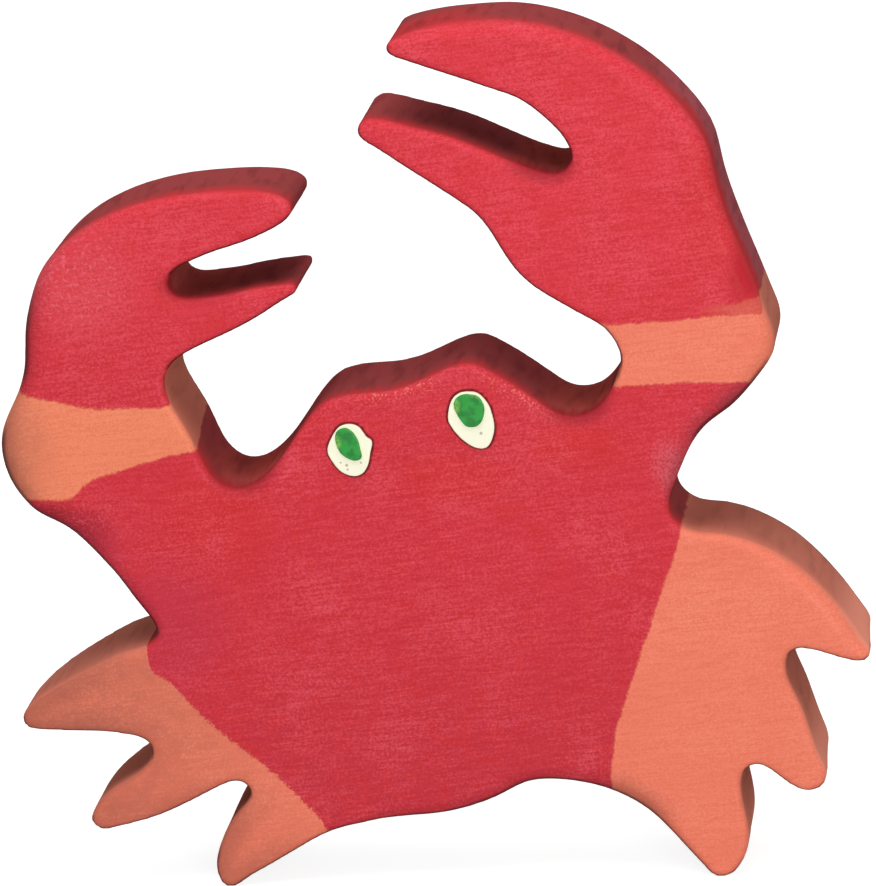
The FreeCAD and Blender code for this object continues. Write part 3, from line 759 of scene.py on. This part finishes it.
def rubbed_stain(bench, at):
    """The colour of the flat faces: mottled where the pores drank, with grain threads, paler clouds and painted
    light and shade.
    """
    pale = bench.fade(at.mottle * 0.55 + at.threads * 0.3 + at.clouds * 0.3, 0.52, 0.88)
    dark = bench.fade(at.mottle * 0.5 + at.threads * 0.3 + at.streaks * 0.12, 0.5, 0.34)
    # Painted light and shade: darker at the belly and on the left side, lighter on the high claws
    low, high = bench.fade(at.up, *LOW_BODY), bench.fade(at.up, *HIGH_CLAWS)
    left = bench.fade(at.across, *LEFT_SIDE) * bench.fade(at.up, *LEFT_LEGS) * 0.9
    left_arm = bench.fade(at.across, *LEFT_ARM) * bench.fade(at.up, *ABOVE_LEGS)
    bulge = at.near(SHADED_BULGE) * 0.9
    dull = bench.larger(left, bulge)
    blushes = bench.fade(bench.noise(at.place, BLUSHES), 0.48, 0.66) * 0.4
    blots = bench.fade(bench.noise(at.place, BROWN_BLOTS), 0.45, 0.7)

    # Painted shade at the belly and painted light on the high claws
    red = bench.mix(high, bench.over(RED, RED_DULL, low, 0.6), RED_BRIGHT)
    red = bench.mix(bench.larger(at.near(WARM_PATCHES) * 0.7, blushes), red, RED_WARM)
    red = bench.over(bench.mix(pale, red, RED_PALE), RED_DEEP, dark, 0.5)
    # Painted shade: the coral duller on the left side and browner on the rounded bulge
    orange = bench.mix(left, bench.mix(left_arm, CORAL, CORAL_WARM), CORAL_DULL)
    orange = bench.mix(bulge, orange, CORAL_BROWN)
    orange = bench.over(orange, CORAL_SHADE, dull * blots, 0.3)
    orange = bench.over(orange, CORAL_PALE, pale, 0.8)
    orange = bench.over(orange, bench.mix(dull, CORAL_DEEP, CORAL_DULL), dark, 0.5)
    return bench.mix(at.coral, red, orange)


# %% Stain on the sawn walls
# The wall turns from its front colour to its back colour between these depths, in millimetres. On the big claw
# it turns later, and the tip at the top stays red further back.
WALL_TURNS = -10.8, -4.0
CLAW_TURNS_LATER = 3.6
BIG_CLAW_ACROSS = 30.0, 38.0
BIG_CLAW_UP = 80.0, 84.0
TIP_DEPTH = 5.0, -2.0
# The blots' length along the saw's line and their depth, in millimetres, and the seed of their pattern
SAW_BLOTS = 1.8, 11.0
BLOT_SEED = 5.0


def sawn_stain(bench, at, corners):
    """The colour of the walls: red at the front rim, wine further back, with the saw's blots across it, and
    painted light and shade in the corners and at the right toe tips.
    """
    big_claw = bench.fade(at.across, *BIG_CLAW_ACROSS) * bench.fade(at.up, *BIG_CLAW_UP)
    uneven = (at.marks - 0.5) * 7 + (at.clouds - 0.5) * 5
    further = bench.fade(at.deep + uneven - big_claw * CLAW_TURNS_LATER, *WALL_TURNS)
    red_tip = at.near(RED_TIP) * bench.fade(at.deep, *TIP_DEPTH)
    tips = at.near(TOE_TIPS)
    blot_length, blot_depth = SAW_BLOTS
    blots = bench.noise(bench.join(at.along / blot_length, at.deep / blot_depth, BLOT_SEED), 1.0)
    blots = bench.fade(blots, 0.44, 0.74) * further * (1 - tips)

    red = bench.mix(further, RED_WALL, bench.mix(big_claw, RED_WALL_BACK, PLUM_WALL))
    red = bench.over(red, RED_WALL, red_tip, 0.75)
    # Painted light and shade in the corners: the back of the wall is lifted lighter, its front is darkened
    red = bench.over(red, LIT_CORNER_WALL, corners * further, 0.8)
    red = bench.over(red, RED_DARK, corners * (1 - further), 0.75)
    # Painted light: the walls at the right toe tips are lighter coral
    orange = bench.mix(tips, bench.mix(further, CORAL_WALL, CORAL_WALL_BACK), LIT_TIP_WALL)
    return bench.over(bench.mix(at.coral, red, orange), RIM_LINE, blots, 0.3 - at.coral * 0.15)


# %% Marks and painted light and shade on the faces
# Distances from the saw's line in millimetres, where each kind of edge begins to show and where it is full
ARM_EDGE = 6.0, 1.0
SHADED_EDGE = 4.6, 0.5
WORN_EDGE = 3.2, 0.6
WORN_SPECKS = 0.36
FRONT_ONLY = FRONT + 1.6, FRONT + 0.6


def marked_and_shaded_stain(bench, at, stain):
    """The stain with plum places and worn edges, painted shade in dark places and at edges, painted glints and
    a sheen.
    """
    stain = bench.over(stain, RED_DEEP, at.coral * at.red, 1.2)
    # Painted shade in the armpit, under the right arm and below the left band, mottled
    patches = at.near(SHADED_PATCHES) * bench.fade(at.mottle, 0.7, 0.35) * at.red
    stain = bench.over(stain, RED_DARK, patches, 0.8)
    stain = bench.over(stain, RED_DEEP, at.near(ARM_TRIANGLE) * at.red, 0.8)
    # Painted shade below the left arm's band, mottled
    elbow = at.near(SHADED_ELBOW) * bench.fade(at.mottle, 0.8, 0.4) * at.red
    stain = bench.over(stain, RED_DARK, elbow, 0.75)
    # Painted glints: pale flecks on the shiny claw
    stain = bench.over(stain, RED_PALE, at.peel * at.flecks, 0.8)
    stain = bench.over(stain, RED_PLUM, at.near(PLUM_RIM) * at.red, 0.4)
    # Painted shade: a plum band along the right arm's lower rim
    arm_edge = bench.fade(at.inset + (at.mottle - 0.5) * 4, *ARM_EDGE)
    stain = bench.over(stain, ARM_PLUM, at.near(ARM_RIM) * arm_edge * at.red, 0.6)
    # Painted shade along rounded edges and at the left toe tips
    shaded = at.near(SHADED_EDGES) * bench.fade(at.inset + (at.mottle - 0.5) * 2, *SHADED_EDGE)
    shaded = bench.larger(shaded * 0.6, at.near(LEFT_TIPS) * 0.25)
    stain = bench.mix(shaded, stain, bench.mix(at.coral, RED_DARK, CORAL_SHADE))
    # A painted sheen in the armpit
    sheen = at.near(ARMPIT_SHEEN) * bench.fade(at.mottle, 0.3, 0.7) * at.red
    stain = bench.over(stain, PALE_SHEEN, sheen, 0.38)
    worn = bench.fade(at.inset, *WORN_EDGE) * bench.fade(bench.noise(at.place, WORN_SPECKS), 0.54, 0.64)
    return bench.over(stain, WORN_SPECK, worn * at.near(WORN_HEAD) * bench.fade(at.deep, *FRONT_ONLY), 0.55)


# %% Dark lines at the rims
# How far the painted corner shade reaches from the saw's line, then how far the line round the eyes reaches, in
# millimetres
DARK_RIM = 2.2, 0.4
PAINT_LINE = 0.46, 0.2


def stain_with_dark_lines(bench, at, stain, corners):
    """The stain with dark lines: painted shade in the corners, at the back rim and on the underside, and a line
    round the eyes.
    """
    # Painted shade: near the corners the front darkens towards its rim
    corner_shade_spread = bench.fade(at.inset + (at.marks - 0.5) * 0.8, *DARK_RIM) * (1 - at.walled)
    stain = bench.over(stain, RED_DARK, corners * corner_shade_spread, 0.7)
    # Painted shade: a dark line where the wall turns to the back
    back_rim = bench.fade(at.turned, 0.04, 0.16) * bench.fade(at.turned, 0.5, 0.3)
    stain = bench.over(stain, RIM_LINE, back_rim, 0.75)
    # Painted shade: a dark line on the walls that face down and left
    stain = bench.over(stain, RIM_LINE, at.underside * bench.fade(at.wall, 0.15, 0.5), 0.8)
    return bench.over(stain, RIM_LINE, bench.fade(at.to_paint, *PAINT_LINE), 0.85)


# %% The stained wood
def stained_wood():
    """Red and coral stain over grain, with its dark corners and its worn rims."""
    made = bpy.data.materials.new("stained_wood")
    made.use_nodes = True
    bench = Bench(made.node_tree)
    at = wood_point(bench)
    corners = at.near(SHADED_CORNERS)
    stain = marked_and_shaded_stain(bench, at, rubbed_stain(bench, at))
    stain = bench.mix(at.walled, stain, sawn_stain(bench, at, corners))
    stain = stain_with_dark_lines(bench, at, stain, corners)

    rough = 0.62 - (at.mottle - 0.5) * 0.3
    height = at.mottle * 0.08 + at.threads * 0.05 + at.marks * at.walled * 0.3 + at.flecks * at.peel * 0.3
    bump = bench.node("ShaderNodeBump", {}, {"Height": height, "Strength": 0.6, "Distance": 0.3 * MM})
    sheen = (1 - at.walled) * (at.peel * 0.4 + 0.1)
    bench.node("ShaderNodeOutputMaterial", {}, {"Surface": bench.node("ShaderNodeBsdfPrincipled", {}, {
        "Base Color": stain, "Roughness": rough, "Normal": bump, "Specular IOR Level": 0.0,
        "Coat Weight": sheen, "Coat Roughness": 0.35}, output="BSDF")})
    print(made.name, "has", len(bench.tree.nodes), "nodes")
    return made


# %% [markdown]
# ## Where the eyes go
# The brush left no perfect ovals. Each dab gets its own outline, a smooth closed curve through a few places,
# and starts as a flat slab as deep as the solid that it stands for. The slabs come before the stain, because
# the wood is drawn darker in a thin line round the eyes.

# %% The outlines of the dabs
# Places (across, up) in millimetres, clockwise from the top
DAB_OUTLINES = {
    "left_eye_white": [
        (-10.6, 66.1), (-9.4, 65.6), (-8.5, 64.3), (-7.7, 63.5), (-8.0, 62.0), (-8.4, 60.3), (-9.3, 59.0),
        (-10.7, 58.7), (-12.4, 59.5), (-13.6, 61.2), (-14.0, 62.6), (-13.2, 64.5), (-12.1, 65.8)],
    "left_eye_pupil": [
        (-11.4, 65.7), (-10.3, 65.1), (-9.6, 63.9), (-9.3, 62.6), (-9.2, 61.4), (-10.0, 60.9),
        (-11.1, 61.2), (-12.2, 62.1), (-12.8, 63.7), (-12.6, 65.1)],
    "right_eye_white": [
        (6.0, 70.2), (7.4, 69.8), (8.7, 68.1), (9.3, 65.4), (8.9, 63.4), (8.0, 62.2), (6.4, 62.3),
        (4.6, 63.6), (3.2, 65.5), (2.9, 66.9), (3.5, 69.0), (4.6, 70.0)],
    "right_eye_pupil": [
        (6.2, 69.9), (7.4, 69.5), (8.1, 68.0), (7.8, 66.3), (6.9, 65.3), (5.5, 65.3), (4.5, 66.5),
        (3.8, 68.1), (4.1, 69.3), (5.1, 69.9)],
}
CURVE_STEPS = 8


def smooth_outline(places):
    """Points of a smooth closed curve that passes through the places."""
    points = []
    for k in range(len(places)):
        before, start, end, after = (Vector(places[(k + turn) % len(places)]) for turn in (-1, 0, 1, 2))
        bend = 2 * before - 5 * start + 4 * end - after
        twist = 3 * start - before - 3 * end + after
        for share in (step / CURVE_STEPS for step in range(CURVE_STEPS)):
            points.append(start + 0.5 * share * ((end - before) + share * (bend + share * twist)))
    return points


def slab(node, name):
    """A flat dab with its own outline, between the front and the back of the solid that it stands for."""
    (_, front, _), (_, back, _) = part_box(node)
    outline = smooth_outline(DAB_OUTLINES[node])
    work = bmesh.new()
    back_rim, front_rim = ([work.verts.new((p.x * MM, deep, p.y * MM)) for p in outline]
                           for deep in (back, front))
    work.faces.new(back_rim)
    work.faces.new(front_rim)
    for k in range(len(outline)):
        work.faces.new((back_rim[k - 1], back_rim[k], front_rim[k], front_rim[k - 1]))
    bmesh.ops.recalc_face_normals(work, faces=work.faces[:])
    mesh = bpy.data.meshes.new(name)
    work.to_mesh(mesh)
    work.free()
    return new_piece(name, mesh)


dabs = {}
for side in ("left", "right"):
    for part in ("white", "pupil"):
        dabs[side, part] = slab(f"{side}_eye_{part}", f"{side}_{part}_drop")
        print(side, part, [round(v / MM, 1) for v in dabs[side, part].dimensions], "mm")

# %% Sand and stain
tree, finish_input = sanding_tree(saw_line, [dabs["left", "white"], dabs["right", "white"]])
sanding = wood.modifiers.new("sanding", "NODES")
sanding.node_group = tree
sanding[finish_input] = stained_wood()
finished_mesh(wood)
bpy.data.objects.remove(saw_line)
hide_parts("crab_blank")
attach(wood, "root")
print("sanded wood:", len(wood.data.polygons), "faces,", [a.name for a in wood.data.attributes])

# %% [markdown]
# ## Enamel eyes
# Each eye is a thick drop of cream enamel with a smaller green one on it. A brush leaves them a little lumpy,
# with rims that round over. The slabs are wrapped in a fine skin, which a few smoothing steps melt into
# drops, and Geometry Nodes ripple them and let their backs sink into the grain.

# %% The enamel tree
# The tree's sizes in millimetres
BRUSHING = {"Ripple Depth": 0.07, "Ripple Size": 1.1, "Seat Depth": 0.3}
RIPPLE_SEED = 5.0
# How much a face must turn to the back before it sinks in, and when it sinks in fully
SEATED = 0.3, 0.8


def enamel_tree():
    """Geometry Nodes that make a smooth drop lumpy and seat it."""
    bench, inputs, finish = piece_tree("brushed_enamel", BRUSHING)
    normal = bench.node("GeometryNodeInputNormal")
    size = inputs["Ripple Size"]
    ripples = bench.lumps(place_on_piece(bench), (size, size, size), RIPPLE_SEED)
    rippled = bench.scale(normal, ripples * inputs["Ripple Depth"] * (-MM))
    seated = bench.fade(bench.split(normal)[1], *SEATED) * inputs["Seat Depth"] * MM
    moved = bench.node("GeometryNodeSetPosition", {}, {
        "Geometry": inputs["Geometry"], "Offset": bench.vector("ADD", rippled, bench.join(0.0, seated, 0.0))})
    close_tree(bench, moved, inputs["Finish"])
    return bench.tree, finish


# %% Cream and green enamel
CREAM = colour(250, 249, 222)
CREAM_THIN = colour(238, 226, 176)
SPECK = colour(150, 130, 96)
GREEN = colour(36, 150, 56)
GREEN_DARK = colour(22, 122, 44)
GREEN_THIN = colour(150, 196, 84)
# Bristle marks and dust in the cream: across and up in millimetres, and a radius
SPECKS = [(-11.4, 60.3, 0.28), (-11.3, 59.7, 0.2), (-12.2, 60.7, 0.18), (-9.4, 60.6, 0.18), (7.4, 64.3, 0.3)]
# Where the green is thin: across and up in millimetres, and how far it reaches
THIN_GREEN = [((-12.9, 63.6), (1.3, 1.7)), ((3.8, 68.3), (1.3, 1.7)), ((7.3, 69.8), (1.4, 0.7))]
# Depths between which the cream and the green thin out at their rims, in millimetres
CREAM_RIM = -11.0, -10.7
GREEN_RIM = -11.3, -11.15
# Sizes of the brush's strokes, of the thick places and of the thin ones, in millimetres
STROKES = 0.5
THICK_PLACES = 1.3
THIN_PLACES = 0.5


def enamel(name, tint_of):
    """Glossy brushed paint. The function tint_of(bench, place) gives its colour."""
    made = bpy.data.materials.new(name)
    made.use_nodes = True
    bench = Bench(made.node_tree)
    place = place_in_material(bench)
    brush = bench.noise(bench.vector("MULTIPLY", place, (1.0, 1.0, 0.35)), STROKES, 3.0)
    rough = 0.34 + (brush - 0.5) * 0.2
    bump = bench.node("ShaderNodeBump", {}, {"Height": brush, "Strength": 0.35, "Distance": 0.06 * MM})
    bench.node("ShaderNodeOutputMaterial", {}, {"Surface": bench.node("ShaderNodeBsdfPrincipled", {}, {
        "Base Color": tint_of(bench, place), "Roughness": rough, "Normal": bump, "Specular IOR Level": 0.3},
        output="BSDF")})
    return made


def cream_tint(bench, place):
    """Cream, thinner and yellower at its rim, with specks in it."""
    across, deep, up = bench.split(place)
    tint = bench.over(CREAM, CREAM_THIN, bench.fade(deep, *CREAM_RIM), 0.8)
    for speck_across, speck_up, radius in SPECKS:
        sideways, upwards = across - speck_across, up - speck_up
        away = bench.maths("SQRT", sideways * sideways + upwards * upwards)
        tint = bench.over(tint, SPECK, bench.fade(away, radius, radius * 0.4), 0.7)
    return tint


def green_tint(bench, place):
    """Leaf green, darker where the brush left more and yellower where the cream shows through."""
    across, deep, up = bench.split(place)
    thick = bench.fade(bench.noise(place, THICK_PLACES), 0.4, 0.62)
    thin = any_spot(bench, across, up, THIN_GREEN) * bench.fade(bench.noise(place, THIN_PLACES), 0.3, 0.6)
    thin = bench.larger(thin, bench.fade(deep, *GREEN_RIM))
    return bench.over(bench.mix(thick, GREEN, GREEN_DARK), GREEN_THIN, thin, 0.75)


# %% The four dabs
DAB_SKIN_STEP = 0.09 * MM
DAB_MELTING = 14
enamel_nodes, enamel_finish = enamel_tree()
cream, green = enamel("cream_enamel", cream_tint), enamel("green_enamel", green_tint)
for side in ("left", "right"):
    for part, finish, slot in (("white", cream, "cream_paint"), ("pupil", green, "green_paint")):
        dab = dabs[side, part]
        wrap(dab, DAB_SKIN_STEP, DAB_MELTING)
        brushing = dab.modifiers.new("brushing", "NODES")
        brushing.node_group = enamel_nodes
        brushing[enamel_finish] = finish
        finished_mesh(dab)
        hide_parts(f"{side}_eye_{part}")
        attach(dab, "root")
        print(dab.name, len(dab.data.polygons), "faces")
